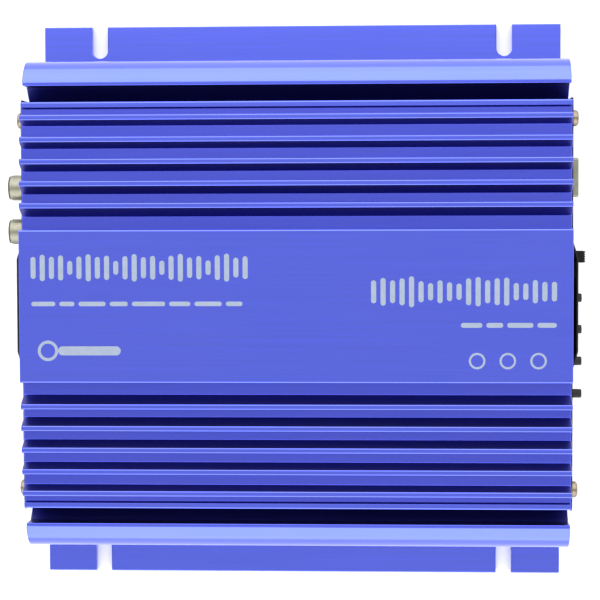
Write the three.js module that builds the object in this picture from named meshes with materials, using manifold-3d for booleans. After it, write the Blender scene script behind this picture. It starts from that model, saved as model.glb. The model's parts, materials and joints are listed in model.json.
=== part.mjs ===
// Car amplifier: an anodised aluminium extrusion that is heat sink and case in one, closed by a sheet
// bottom cover and two black sheet end plates. Input and supply sockets are at the -X end, the controls
// at the +X end. Millimetres, +Z up. The origin is the middle of the underside.
import * as THREE from 'three';
import { mergeVertices } from 'three/addons/utils/BufferGeometryUtils.js';
import Module from 'manifold-3d';

const wasm = await Module();
wasm.setup();

// ---------------------------------------------------------------- driving dimensions
const bodyLength = 182.2;        // length of the extrusion along X
const halfLength = bodyLength / 2;
const clearance = 0.3;           // gap kept between pieces that fit together
const seat = 0.1;                // gap kept between faces that rest on each other

const footReach = 97;            // outer edge of the mounting feet
const footThick = 2.5;
const slotX = 71.4;              // mounting slots, open at the outer edge of the feet
const slotWidth = 5.5;
const slotEnd = 85.9;            // where the round end of a slot reaches

const shoulderReach = 82.05;     // outer face of the side skirts
const shoulderRadius = 9.7;      // rounded shoulder above each skirt
const shoulderCentreZ = 32.7;
const lipOuter = 74.3;           // narrow ledge along the inner edge of the shoulder
const lipInner = 73.25;
const lipZ = 41.7;
const skirtWall = 2.4;

const bodyReach = 67.7;          // outer face of the case's own side walls
const bodyInner = 65;
const gutterHighZ = 35.2;        // the gutter between shoulder and side wall slopes down to the wall
const gutterLowZ = 30;
const gutterWall = 3;            // upright thickness under the slope

const floorZ = 44;               // floors between the fins
const rimZ = 45;                 // raised rim along the top of each side wall
const rimWidth = 1.8;
const rimSlope = 0.6;            // run of the rim's sloped inner face
const panelTopZ = 50;            // wide flat panel down the middle
const panelHalf = 25.3;

const finCount = 5;              // on each side of the panel
const finFirstY = 62.5;          // outermost fin
const finPitch = 7.28;
const finHalfTop = 0.87;
const finFirstRise = 3.4;        // the fins grow taller towards the panel
const finRiseStep = 0.42;
const finSlope = 0.56;           // run of the sloped face for each millimetre of rise
const edgeRound = 0.35;

const ceilingZ = 40.5;
const pocketCeilingZ = 41.7;     // the ceiling is higher under the panel
const pocketHalf = 21;

const plateScrewY = 62;
const plateScrewLowZ = 8;
const plateScrewHighZ = 36;
const grooveRadius = 1.6;        // screw grooves that run the length of the extrusion
const grooveMouth = 1;
const railInner = 58;            // the rails that hold the grooves
const railHalf = 4.4;

const coverThick = 1.6;
const coverScrewX = 78;
const coverScrewY = 61.5;

const plateThick = 0.5;          // end plates
const plateHalf = 68.6;
const plateBottomZ = 0.6;
const plateTopZ = 42;
const plateCorner = 1.6;
const plateInnerX = halfLength + seat;
const bossRise = 1.8;            // the middle of each plate is pressed outwards
const bossFlatHalf = 15.5;
const bossBaseHalf = 21.3;

const screwHeadRadius = 2.75;
const screwHeadHeight = 2.1;
const screwShankRadius = 1.25;
const screwShankLength = 10;

const countersunkRadius = 2.6;
const countersunkLength = 8;
const crossArm = 0.75;           // width of the driver recess

const socketFrontX = -90.8;      // front and back of the mouldings behind the input plate
const socketBackX = -76;
const rcaY = [39.8, 24.7];
const rcaZ = 22;
const rcaRadius = 4.35;
const rcaBore = 3.5;
const rcaTipX = -99.7;
const rcaRootX = -85;
const rcaFloor = 1.4;            // thickness of a shell's closed end
const insulatorRadius = 2.6;
const contactRadius = 1.6;
const contactBore = 1.2;

const socketZ = 20;
const socketWall = 0.8;          // plastic outside the pin cells
const socketFlange = 1.5;        // how much wider the moulding is behind the plate
const cellDepth = 10;
const speaker = { y: -3, noseX: -94.6, columns: 4, rows: 2, pitch: 4.2, cell: 3.4 };
const power = { y: -25, noseX: -94.4, columns: 3, rows: 2, pitch: 4.9, cell: 3.8 };

const fuseY = -46.9;
const fuseWidth = 19;
const fuseThick = 5.1;
const fuseHeadOuterX = -96;
const fuseHeadInnerX = -86;
const bladeWidth = 5.2;
const bladeThick = 0.7;
const bladeTipX = -79;
const bladeY = fuseWidth / 2 - 3.2;
const holderNoseX = -92.9;
const holderHalfY = 10.8;
const holderHalfZ = 4.4;
const fuseRoom = 0.35;           // room round the fuse's head in its holder

const controlZ = 25;             // axis height of everything on the control plate
const usbY = 42.6;
const usbWidth = 13.2;
const usbHeight = 5.8;
const usbTipX = 94.9;
const usbWall = 0.5;
const usbBackWall = 1.2;
const tongueHalf = 5.5;
const tongueThick = 1.8;

const knobY = 15.75;             // slide switch, resting at one end of its travel
const knobWidth = 4.05;
const knobHeight = 3.6;
const knobTipX = 97.4;
const knobTravel = 4;
const knobRibs = 5;
const ribGroove = 0.35;          // width of the grooves between the ribs
const ribDepth = 0.5;
const slotSpare = 0.4;           // room at each end of the knob's slot
const switchWidth = 13.5;
const switchHeight = 7.4;

const potY = [1.8, -8.9, -19.7, -30.8];
const potShaftRadius = 1.5;
const potTipX = 96.3;
const potHalfWidth = 4.7;
const potHalfHeight = 5;
const potSlotWidth = 0.9;
const potSlotDepth = 1.2;
const controlFrontX = 90.8;      // front and back of the bodies behind the control plate
const controlBackX = 84.2;

const ledY = [-42, -49];
const ledRadius = 1.5;
const ledRootX = 87.1;

const boardTopZ = 9.6;
const boardThick = 1.6;
const mainBoardHalfX = 88;
const mainBoardHalfY = 56.5;
const controlBoardY = [-53, 52];
const controlBoardRise = 8;      // how far it stands above the controls' axis
const standoffX = 80;
const standoffY = 50;
const standoffRadius = 3;

const toroid = { x: -38, y: 18, inner: 7, outer: 18, height: 17 };
const capacitor = { x: -45, y: [-12, -34], radius: 9, topZ: 38 };
const device = { x: [-24, 24], z: 22, width: 15.6, thick: 4.6, height: 16 };
const clampBar = { z: 21, length: 80, thick: 1.6, height: 8 };

// ---------------------------------------------------------------- materials
const finish = (color, roughness, metalness) => () =>
  new THREE.MeshStandardMaterial({ color, roughness, metalness });
const anodised = finish(0x4a55d2, 0.34, 0.9);
const blackPlate = finish(0x141414, 0.55, 0.1);
const steel = finish(0xc9c4b4, 0.3, 1);
const nickel = finish(0xd3cdb6, 0.24, 1);
const brass = finish(0xc7a24a, 0.3, 1);
const blackPlastic = finish(0x17171a, 0.6, 0);
const greyPlastic = finish(0x4b4b48, 0.5, 0);
const whitePlastic = finish(0xeeeeea, 0.45, 0);
const redPlastic = finish(0xb81d1d, 0.45, 0);
const fusePlastic = finish(0xd8a020, 0.25, 0);
const boardGreen = finish(0x1d5a35, 0.5, 0);
const greenLens = finish(0x53c56a, 0.2, 0);
const redLens = finish(0xd0493a, 0.2, 0);
const copper = finish(0xb5642c, 0.35, 1);

// ---------------------------------------------------------------- shaping helpers
function toSolid(geometry) {
  const bare = geometry.clone();
  bare.deleteAttribute('normal');
  bare.deleteAttribute('uv');
  const merged = mergeVertices(bare, 1e-4);
  return new wasm.Manifold(new wasm.Mesh({
    numProp: 3,
    vertProperties: new Float32Array(merged.attributes.position.array),
    triVerts: new Uint32Array(merged.index.array),
  }));
}

function toGeometry(solid) {
  const mesh = solid.getMesh();
  const geometry = new THREE.BufferGeometry();
  geometry.setAttribute('position', new THREE.BufferAttribute(new Float32Array(mesh.vertProperties), 3));
  geometry.setIndex(new THREE.BufferAttribute(new Uint32Array(mesh.triVerts), 1));
  geometry.computeVertexNormals();
  return geometry;
}

function cut(geometry, tools) {
  let solid = toSolid(geometry);
  for (const tool of tools) solid = solid.subtract(toSolid(tool));
  return toGeometry(solid);
}

function join(geometries) {
  const solids = geometries.map(toSolid);
  return toGeometry(solids.reduce((sum, solid) => sum.add(solid)));
}

function common(first, second) {
  return toGeometry(toSolid(first).intersect(toSolid(second)));
}

// A box given by its middle and its size.
function block(x, y, z, sizeX, sizeY, sizeZ) {
  return new THREE.BoxGeometry(sizeX, sizeY, sizeZ).translate(x, y, z);
}

// A box given by where it starts and ends on each axis.
function span(x0, x1, y0, y1, z0, z1) {
  return block((x0 + x1) / 2, (y0 + y1) / 2, (z0 + z1) / 2, x1 - x0, y1 - y0, z1 - z0);
}

function rodX(radius, x0, x1, y, z, sides = 20) {
  const rod = new THREE.CylinderGeometry(radius, radius, x1 - x0, sides);
  return rod.rotateZ(-Math.PI / 2).translate((x0 + x1) / 2, y, z);
}

function rodZ(radius, z0, z1, x, y, sides = 20) {
  const rod = new THREE.CylinderGeometry(radius, radius, z1 - z0, sides);
  return rod.rotateX(Math.PI / 2).translate(x, y, (z0 + z1) / 2);
}

// Runs a section drawn in Y and Z along X.
function alongX(shape, x0, x1, curveSegments = 6) {
  const prism = new THREE.ExtrudeGeometry(shape, { depth: x1 - x0, bevelEnabled: false, curveSegments });
  const axes = new THREE.Matrix4().makeBasis(
    new THREE.Vector3(0, 1, 0), new THREE.Vector3(0, 0, 1), new THREE.Vector3(1, 0, 0));
  return prism.applyMatrix4(axes).translate(x0, 0, 0);
}

// Runs a section drawn in X and Y along Z.
function alongZ(shape, z0, z1, curveSegments = 6) {
  const prism = new THREE.ExtrudeGeometry(shape, { depth: z1 - z0, bevelEnabled: false, curveSegments });
  return prism.translate(0, 0, z0);
}

function roundedRectangle(halfWidth, low, high, radius) {
  const shape = new THREE.Shape();
  shape.moveTo(-halfWidth + radius, low);
  shape.lineTo(halfWidth - radius, low);
  shape.absarc(halfWidth - radius, low + radius, radius, -Math.PI / 2, 0);
  shape.absarc(halfWidth - radius, high - radius, radius, 0, Math.PI / 2);
  shape.absarc(-halfWidth + radius, high - radius, radius, Math.PI / 2, Math.PI);
  shape.absarc(-halfWidth + radius, low + radius, radius, Math.PI, Math.PI * 1.5);
  return shape;
}

const amplifier = new THREE.Group();

function addPart(name, geometry, material, parent = amplifier) {
  const mesh = new THREE.Mesh(geometry, material());
  mesh.name = name;
  parent.add(mesh);
  return mesh;
}

// ---------------------------------------------------------------- heat sink housing
// The +Y half of the extrusion's section, from the middle of the top round to the middle of the ceiling.
function addTop(path) {
  path.moveTo(0, panelTopZ);
  path.absarc(panelHalf - edgeRound, panelTopZ - edgeRound, edgeRound, Math.PI / 2, 0, true);
  path.lineTo(panelHalf, floorZ);
  for (let fin = finCount - 1; fin >= 0; fin -= 1) {
    const centre = finFirstY - finPitch * fin;
    const rise = finFirstRise + finRiseStep * fin;
    const cornerZ = floorZ + rise - edgeRound;
    path.lineTo(centre - finHalfTop - finSlope * rise, floorZ);
    path.absarc(centre - finHalfTop + edgeRound, cornerZ, edgeRound, Math.PI * 0.84, Math.PI / 2, true);
    path.absarc(centre + finHalfTop - edgeRound, cornerZ, edgeRound, Math.PI / 2, 0, true);
    path.lineTo(centre + finHalfTop, floorZ);
  }
  const rimInner = bodyReach - rimWidth;
  path.lineTo(rimInner - rimSlope, floorZ);
  path.lineTo(rimInner, rimZ);
  path.absarc(bodyReach - edgeRound, rimZ - edgeRound, edgeRound, Math.PI / 2, 0, true);
}

function addShoulder(path) {
  const centreY = shoulderReach - shoulderRadius;
  path.lineTo(bodyReach, gutterLowZ);
  path.lineTo(lipInner, gutterHighZ);
  path.lineTo(lipInner, lipZ);
  path.lineTo(lipOuter, lipZ);
  const start = Math.acos((lipOuter - centreY) / shoulderRadius);
  path.absarc(centreY, shoulderCentreZ, shoulderRadius, start, 0, true);
  path.lineTo(shoulderReach, footThick);
}

function addFoot(path) {
  path.lineTo(footReach, footThick);
  path.lineTo(footReach, 0);
  path.lineTo(bodyInner, 0);
}

// A rail on the inside of the wall, with a round screw groove that opens towards the middle.
function addRail(path, z) {
  const mouthAngle = Math.asin(grooveMouth / grooveRadius);
  path.lineTo(bodyInner, z - railHalf);
  path.lineTo(railInner, z - railHalf);
  path.lineTo(railInner, z - grooveMouth);
  path.absarc(plateScrewY, z, grooveRadius, Math.PI + mouthAngle, Math.PI - mouthAngle);
  path.lineTo(railInner, z + grooveMouth);
  path.lineTo(railInner, z + railHalf);
  path.lineTo(bodyInner, z + railHalf);
}

function addCeiling(path) {
  path.lineTo(bodyInner, ceilingZ);
  path.lineTo(pocketHalf, ceilingZ);
  path.lineTo(pocketHalf, pocketCeilingZ);
  path.lineTo(0, pocketCeilingZ);
}

// The hollow inside each skirt runs the whole length and is open at both ends.
function skirtHollow() {
  const outerY = shoulderReach - skirtWall;
  const partingY = lipInner + skirtWall;
  const arcCentreY = shoulderReach - shoulderRadius;
  const arcRadius = shoulderRadius - skirtWall;
  const hollow = new THREE.Path();
  hollow.moveTo(bodyReach, footThick);
  hollow.lineTo(outerY, footThick);
  hollow.absarc(arcCentreY, shoulderCentreZ, arcRadius, 0, Math.acos((partingY - arcCentreY) / arcRadius));
  hollow.lineTo(partingY, gutterHighZ - gutterWall + (partingY - lipInner));
  hollow.lineTo(bodyReach, gutterLowZ - gutterWall);
  return hollow.getPoints(6);
}

const slotRoundY = slotEnd + slotWidth / 2;
const slotOpenY = footReach + 1;
const coverScrewDepth = 11;
function housing() {
  const half = new THREE.Path();
  addTop(half);
  addShoulder(half);
  addFoot(half);
  addRail(half, plateScrewLowZ);
  addRail(half, plateScrewHighZ);
  addCeiling(half);
  const right = half.getPoints(4);
  const left = right.slice(1, -1).reverse().map((point) => new THREE.Vector2(-point.x, point.y));
  const section = new THREE.Shape([...right, ...left]);
  const body = alongX(section, -halfLength, halfLength);
  const tools = [];
  for (const side of [-1, 1]) {
    const outline = skirtHollow().map((point) => new THREE.Vector2(side * point.x, point.y));
    tools.push(alongX(new THREE.Shape(outline), -halfLength - 1, halfLength + 1));
    for (const end of [-1, 1]) {
      tools.push(rodZ(slotWidth / 2, -1, footThick + 1, end * slotX, side * slotRoundY, 16));
      tools.push(block(end * slotX, side * (slotRoundY + slotOpenY) / 2, footThick / 2,
        slotWidth, slotOpenY - slotRoundY, footThick + 2));
      tools.push(rodZ(screwShankRadius + clearance, -1, coverScrewDepth,
        end * coverScrewX, side * coverScrewY, 12));
    }
  }
  return cut(body, tools);
}
addPart('heatsink_housing', housing(), anodised);

// ---------------------------------------------------------------- screws
function crossRecess(top, depth, reach) {
  return [
    block(0, top, 0, reach * 2, depth * 2, crossArm),
    block(0, top, 0, crossArm, depth * 2, reach * 2),
  ];
}

// Turns an outline of [radius, height] points about the axis.
function lathe(profile, sides) {
  return new THREE.LatheGeometry(profile.map(([r, h]) => new THREE.Vector2(r, h)), sides);
}

// Both screws stand on their own axis, head upwards. A pan head's underside is at height 0.
function panScrew() {
  const outline = [
    [0, -screwShankLength], [screwShankRadius, -screwShankLength + 1], [screwShankRadius, 0],
    [screwHeadRadius, 0], [screwHeadRadius, screwHeadHeight * 0.4],
    [screwHeadRadius * 0.82, screwHeadHeight * 0.85], [screwHeadRadius * 0.5, screwHeadHeight],
    [0, screwHeadHeight],
  ];
  return cut(lathe(outline, 14), crossRecess(screwHeadHeight, 1.1, 1.5));
}

// The flat face of a countersunk head is at height 0.
function countersunkScrew() {
  const outline = [
    [0, -countersunkLength], [screwShankRadius, -countersunkLength + 0.8], [screwShankRadius, -1.5],
    [countersunkRadius, -0.15], [countersunkRadius, 0], [0, 0],
  ];
  return cut(lathe(outline, 14), crossRecess(0, 0.9, 1.4));
}

const plateOuterX = plateInnerX + plateThick;
const panGeometry = panScrew();
let plateScrewNumber = 1;
for (const end of [-1, 1]) {
  for (const side of [1, -1]) {
    for (const z of [plateScrewHighZ, plateScrewLowZ]) {
      const screw = addPart(`end_plate_screw_${plateScrewNumber}`, panGeometry.clone(), steel);
      screw.position.set(end * (plateOuterX + seat), side * plateScrewY, z);
      screw.rotation.z = -end * Math.PI / 2;
      plateScrewNumber += 1;
    }
  }
}

const countersunkGeometry = countersunkScrew();
let coverScrewNumber = 1;
for (const end of [-1, 1]) {
  for (const side of [1, -1]) {
    const screw = addPart(`cover_screw_${coverScrewNumber}`, countersunkGeometry.clone(), steel);
    screw.position.set(end * coverScrewX, side * coverScrewY, seat);
    screw.rotation.x = -Math.PI / 2;
    coverScrewNumber += 1;
  }
}

// ---------------------------------------------------------------- bottom cover
function bottomCover() {
  const halfX = halfLength - 0.4;
  const halfY = bodyInner - clearance;
  const sheet = span(-halfX, halfX, -halfY, halfY, 0, coverThick);
  const tools = [];
  for (const end of [-1, 1]) {
    for (const side of [-1, 1]) {
      const seatCone = new THREE.CylinderGeometry(
        screwShankRadius + 0.45, countersunkRadius + 0.5, coverThick + 0.1, 16);
      seatCone.rotateX(Math.PI / 2).translate(end * coverScrewX, side * coverScrewY, coverThick / 2);
      tools.push(seatCone);
    }
  }
  return cut(sheet, tools);
}
addPart('bottom_cover', bottomCover(), blackPlate);

// ---------------------------------------------------------------- end plates
// A sheet bent outwards in the middle, with rounded corners. end is -1 or +1, openings are cut out.
function endPlate(end, openings) {
  const section = new THREE.Shape([
    [plateInnerX, -plateHalf], [plateOuterX, -plateHalf],
    [plateOuterX, -bossBaseHalf], [plateOuterX + bossRise, -bossFlatHalf],
    [plateOuterX + bossRise, bossFlatHalf], [plateOuterX, bossBaseHalf],
    [plateOuterX, plateHalf], [plateInnerX, plateHalf],
    [plateInnerX, bossBaseHalf], [plateInnerX + bossRise, bossFlatHalf],
    [plateInnerX + bossRise, -bossFlatHalf], [plateInnerX, -bossBaseHalf],
  ].map(([x, y]) => new THREE.Vector2(end * x, y)));
  const sheet = alongZ(section, plateBottomZ - 1, plateTopZ + 1);
  const outline = alongX(roundedRectangle(plateHalf, plateBottomZ, plateTopZ, plateCorner),
    end * plateInnerX - 4, end * plateInnerX + 4);
  const screwHoles = [];
  for (const side of [-1, 1]) {
    for (const z of [plateScrewLowZ, plateScrewHighZ]) {
      const x = end * plateInnerX;
      screwHoles.push(rodX(screwShankRadius + clearance, x - 3, x + 3, side * plateScrewY, z, 14));
    }
  }
  return cut(common(sheet, outline), [...screwHoles, ...openings]);
}

// ---------------------------------------------------------------- input jacks
for (const [index, y] of rcaY.entries()) {
  const number = index + 1;
  const rodAt = (radius, x0, x1, sides) => rodX(radius, x0, x1, y, rcaZ, sides);
  const floorX = rcaRootX - rcaFloor;
  const barrel = rodAt(rcaRadius, rcaTipX, rcaRootX, 24);
  addPart(`rca_shell_${number}`, cut(barrel, [rodAt(rcaBore, rcaTipX - 1, floorX, 24)]), nickel);
  const plug = rodAt(insulatorRadius, rcaTipX + 0.8, floorX - 0.4, 20);
  const plugHole = rodAt(contactRadius + clearance, rcaTipX, floorX - 2.6, 16);
  addPart(`rca_insulator_${number}`, cut(plug, [plugHole]), index === 0 ? whitePlastic : redPlastic);
  const contact = rodAt(contactRadius, rcaTipX + 2, floorX - 2.9, 12);
  addPart(`rca_contact_${number}`, cut(contact, [rodAt(contactBore, rcaTipX, floorX - 4.1, 12)]), brass);
}

function rcaBlock() {
  const middle = (rcaY[0] + rcaY[1]) / 2;
  const halfWidth = 15;
  const body = span(socketFrontX, socketBackX, middle - halfWidth, middle + halfWidth,
    boardTopZ + seat, rcaZ + 7);
  const seats = rcaY.map((y) =>
    rodX(rcaRadius + clearance, socketFrontX - 1.2, rcaRootX + clearance, y, rcaZ, 24));
  return cut(body, seats);
}
addPart('rca_block', rcaBlock(), blackPlastic);

// ---------------------------------------------------------------- harness sockets
function noseSize(socket) {
  return [socket.columns, socket.rows].map((count) => count * socket.pitch + socketWall * 2);
}

// A moulded body behind the plate with a nose through it and a grid of square pin cells.
function harnessSocket(socket) {
  const [width, height] = noseSize(socket);
  const halfWidth = width / 2;
  const halfHeight = height / 2;
  const body = span(socketFrontX, socketBackX,
    socket.y - halfWidth - socketFlange, socket.y + halfWidth + socketFlange,
    boardTopZ + seat, socketZ + halfHeight + socketFlange);
  const nose = span(socket.noseX, socketFrontX + 0.8, socket.y - halfWidth, socket.y + halfWidth,
    socketZ - halfHeight, socketZ + halfHeight);
  const cells = [];
  for (let column = 0; column < socket.columns; column += 1) {
    for (let row = 0; row < socket.rows; row += 1) {
      const cellY = socket.y + (column - (socket.columns - 1) / 2) * socket.pitch;
      const cellZ = socketZ + (row - (socket.rows - 1) / 2) * socket.pitch;
      cells.push(block(socket.noseX, cellY, cellZ, cellDepth * 2, socket.cell, socket.cell));
    }
  }
  return cut(join([body, nose]), cells);
}
addPart('speaker_socket', harnessSocket(speaker), blackPlastic);
addPart('power_socket', harnessSocket(power), blackPlastic);

// ---------------------------------------------------------------- supply fuse
function bladeFuse() {
  const head = span(fuseHeadOuterX, fuseHeadInnerX, fuseY - fuseWidth / 2, fuseY + fuseWidth / 2,
    socketZ - fuseThick / 2, socketZ + fuseThick / 2);
  const blades = [-1, 1].map((side) => {
    const middle = fuseY + side * bladeY;
    return span(fuseHeadInnerX - 1, bladeTipX, middle - bladeWidth / 2, middle + bladeWidth / 2,
      socketZ - bladeThick / 2, socketZ + bladeThick / 2);
  });
  return join([head, ...blades]);
}

function fuseHolder() {
  const body = span(socketFrontX, socketBackX, fuseY - holderHalfY, fuseY + holderHalfY,
    boardTopZ + seat, socketZ + holderHalfZ);
  const noseHalfY = holderHalfY - 0.4;
  const noseHalfZ = holderHalfZ - 0.8;
  const nose = span(holderNoseX, socketFrontX + 0.8, fuseY - noseHalfY, fuseY + noseHalfY,
    socketZ - noseHalfZ, socketZ + noseHalfZ);
  const roomY = fuseWidth / 2 + fuseRoom;
  const roomZ = fuseThick / 2 + fuseRoom;
  const headRoom = span(fuseHeadOuterX - 4, fuseHeadInnerX + clearance, fuseY - roomY, fuseY + roomY,
    socketZ - roomZ, socketZ + roomZ);
  const bladeRoomY = bladeWidth / 2 + fuseRoom;
  const bladeRoomZ = bladeThick / 2 + fuseRoom;
  const bladeRoom = [-1, 1].map((side) => span(fuseHeadInnerX, bladeTipX + clearance,
    fuseY + side * bladeY - bladeRoomY, fuseY + side * bladeY + bladeRoomY,
    socketZ - bladeRoomZ, socketZ + bladeRoomZ));
  return cut(join([body, nose]), [headRoom, ...bladeRoom]);
}
addPart('fuse_holder', fuseHolder(), blackPlastic);
addPart('blade_fuse', bladeFuse(), fusePlastic);

// ---------------------------------------------------------------- control end
function usbShell() {
  const halfWidth = usbWidth / 2;
  const halfHeight = usbHeight / 2;
  const outer = span(controlBackX, usbTipX, usbY - halfWidth, usbY + halfWidth,
    controlZ - halfHeight, controlZ + halfHeight);
  const inner = span(controlBackX + usbBackWall, usbTipX + 1,
    usbY - halfWidth + usbWall, usbY + halfWidth - usbWall,
    controlZ - halfHeight + usbWall, controlZ + halfHeight - usbWall);
  return cut(outer, [inner]);
}
addPart('usb_shell', usbShell(), nickel);
addPart('usb_tongue', span(controlBackX + usbBackWall + clearance, usbTipX - 0.6,
  usbY - tongueHalf, usbY + tongueHalf, controlZ + seat, controlZ + seat + tongueThick), whitePlastic);

const slotCentreY = knobY - knobTravel / 2;
const slotLength = knobWidth + knobTravel + slotSpare * 2;
function slideSwitchBody() {
  const body = block((controlBackX + controlFrontX) / 2, slotCentreY, controlZ,
    controlFrontX - controlBackX, switchWidth, switchHeight);
  const track = block(controlFrontX, slotCentreY, controlZ, 6, slotLength, knobHeight + clearance * 2);
  return cut(body, [track]);
}
addPart('slide_switch_body', slideSwitchBody(), steel);

function slideSwitchKnob() {
  const body = span(controlFrontX - 2.5, knobTipX, knobY - knobWidth / 2, knobY + knobWidth / 2,
    controlZ - knobHeight / 2, controlZ + knobHeight / 2);
  const ribPitch = knobWidth / knobRibs;
  const grooves = [];
  for (let groove = 1; groove < knobRibs; groove += 1) {
    const grooveY = knobY - knobWidth / 2 + groove * ribPitch;
    grooves.push(block(knobTipX, grooveY, controlZ, ribDepth * 2, ribGroove, knobHeight + 1));
  }
  return cut(body, grooves);
}
addPart('slide_switch_knob', slideSwitchKnob(), blackPlastic);

for (const [index, y] of potY.entries()) {
  const number = index + 1;
  const body = span(controlBackX, controlFrontX, y - potHalfWidth, y + potHalfWidth,
    controlZ - potHalfHeight, controlZ + potHalfHeight);
  const shaftRootX = controlFrontX - 4.2;
  const bore = rodX(potShaftRadius + clearance, shaftRootX - clearance, controlFrontX + 1, y, controlZ);
  addPart(`pot_body_${number}`, cut(body, [bore]), blackPlastic);
  const shaft = rodX(potShaftRadius, shaftRootX, potTipX, 0, 0);
  const slot = block(potTipX, 0, 0, potSlotDepth * 2, potShaftRadius * 3, potSlotWidth);
  const turned = addPart(`pot_shaft_${number}`, cut(shaft, [slot]), greyPlastic);
  turned.position.set(0, y, controlZ);
}

const ledNames = ['power_led', 'protect_led'];
const ledLenses = [greenLens, redLens];
for (const [index, y] of ledY.entries()) {
  const rim = ledRadius + 0.4;
  const outline = [[0, 0], [rim, 0], [rim, 1], [ledRadius, 1], [ledRadius, 4.4], [1.1, 5.4], [0, 5.7]];
  const lens = lathe(outline, 16).rotateZ(-Math.PI / 2).translate(ledRootX, y, controlZ);
  addPart(ledNames[index], lens, ledLenses[index]);
}

const controlBoardFrontX = controlBackX - seat;
addPart('control_board', span(controlBoardFrontX - boardThick, controlBoardFrontX, ...controlBoardY,
  boardTopZ + clearance, controlZ + controlBoardRise), boardGreen);

// ---------------------------------------------------------------- end plates with their openings
const windowGap = 0.35;
function windowAt(end, y, z, width, height) {
  return block(end * plateInnerX, y, z, 10, width + windowGap * 2, height + windowGap * 2);
}

function roundAt(end, radius, y, z, sides = 20) {
  const x = end * plateInnerX;
  return rodX(radius + clearance, x - 4, x + 4, y, z, sides);
}

const inputOpenings = [
  ...rcaY.map((y) => roundAt(-1, rcaRadius, y, rcaZ, 24)),
  ...[speaker, power].map((socket) => windowAt(-1, socket.y, socketZ, ...noseSize(socket))),
  windowAt(-1, fuseY, socketZ, holderHalfY * 2 - 0.8, holderHalfZ * 2 - 1.6),
];
addPart('end_plate_input', endPlate(-1, inputOpenings), blackPlate);

const controlOpenings = [
  windowAt(1, usbY, controlZ, usbWidth, usbHeight),
  windowAt(1, slotCentreY, controlZ, slotLength - windowGap * 2, knobHeight),
  ...potY.map((y) => roundAt(1, potShaftRadius, y, controlZ)),
  ...ledY.map((y) => roundAt(1, ledRadius, y, controlZ, 16)),
];
addPart('end_plate_control', endPlate(1, controlOpenings), blackPlate);

// ---------------------------------------------------------------- inside the case
addPart('main_board', span(-mainBoardHalfX, mainBoardHalfX, -mainBoardHalfY, mainBoardHalfY,
  boardTopZ - boardThick, boardTopZ), boardGreen);
let standoffNumber = 1;
for (const x of [-standoffX, standoffX]) {
  for (const y of [-standoffY, standoffY]) {
    addPart(`board_standoff_${standoffNumber}`,
      rodZ(standoffRadius, coverThick + seat, boardTopZ - boardThick - seat, x, y, 6), brass);
    standoffNumber += 1;
  }
}

function ring(inner, outer, z0, z1) {
  return lathe([[inner, z0], [outer, z0], [outer, z1], [inner, z1], [inner, z0]], 24).rotateX(Math.PI / 2);
}
addPart('toroid_transformer', ring(toroid.inner, toroid.outer, 0, toroid.height)
  .translate(toroid.x, toroid.y, boardTopZ + seat), copper);
for (const [index, y] of capacitor.y.entries()) {
  addPart(`reservoir_capacitor_${index + 1}`,
    rodZ(capacitor.radius, boardTopZ + seat, capacitor.topZ, capacitor.x, y), blackPlastic);
}

const deviceY = bodyInner - seat - device.thick / 2;
const clampY = bodyInner - seat * 2 - device.thick - clampBar.thick / 2;
let deviceNumber = 1;
for (const side of [-1, 1]) {
  for (const x of device.x) {
    addPart(`output_device_${deviceNumber}`,
      block(x, side * deviceY, device.z, device.width, device.thick, device.height), blackPlastic);
    deviceNumber += 1;
  }
  addPart(`clamp_bar_${side < 0 ? 1 : 2}`,
    block(0, side * clampY, clampBar.z, clampBar.length, clampBar.thick, clampBar.height), steel);
}

export default amplifier;
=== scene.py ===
"""Car amplifier: the fine surfaces, materials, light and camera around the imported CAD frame.

Shapes are built in millimetres in the CAD's own frame and turned into metres when they become pieces.
"""
import json
import math

import bmesh
import bpy
from mathutils import Matrix, Vector
from mathutils.geometry import tessellate_polygon

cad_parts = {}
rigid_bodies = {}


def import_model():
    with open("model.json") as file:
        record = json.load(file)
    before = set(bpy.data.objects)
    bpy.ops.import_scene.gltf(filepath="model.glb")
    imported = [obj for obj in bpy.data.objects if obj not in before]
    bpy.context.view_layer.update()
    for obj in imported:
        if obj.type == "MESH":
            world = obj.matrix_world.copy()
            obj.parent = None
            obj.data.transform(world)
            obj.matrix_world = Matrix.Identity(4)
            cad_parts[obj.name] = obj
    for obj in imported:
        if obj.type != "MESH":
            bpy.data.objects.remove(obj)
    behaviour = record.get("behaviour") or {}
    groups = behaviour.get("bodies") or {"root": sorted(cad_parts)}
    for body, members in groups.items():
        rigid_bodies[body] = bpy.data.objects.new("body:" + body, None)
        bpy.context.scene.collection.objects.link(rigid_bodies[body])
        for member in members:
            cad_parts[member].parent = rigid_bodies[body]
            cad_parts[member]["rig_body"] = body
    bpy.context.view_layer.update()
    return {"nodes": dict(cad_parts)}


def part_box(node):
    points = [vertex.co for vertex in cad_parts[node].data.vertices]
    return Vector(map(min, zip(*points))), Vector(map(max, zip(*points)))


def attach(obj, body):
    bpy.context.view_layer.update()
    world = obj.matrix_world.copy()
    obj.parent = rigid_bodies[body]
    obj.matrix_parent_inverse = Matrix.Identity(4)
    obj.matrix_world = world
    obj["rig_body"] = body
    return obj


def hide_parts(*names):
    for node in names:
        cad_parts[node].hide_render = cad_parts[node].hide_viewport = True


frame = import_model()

MM = 0.001

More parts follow.
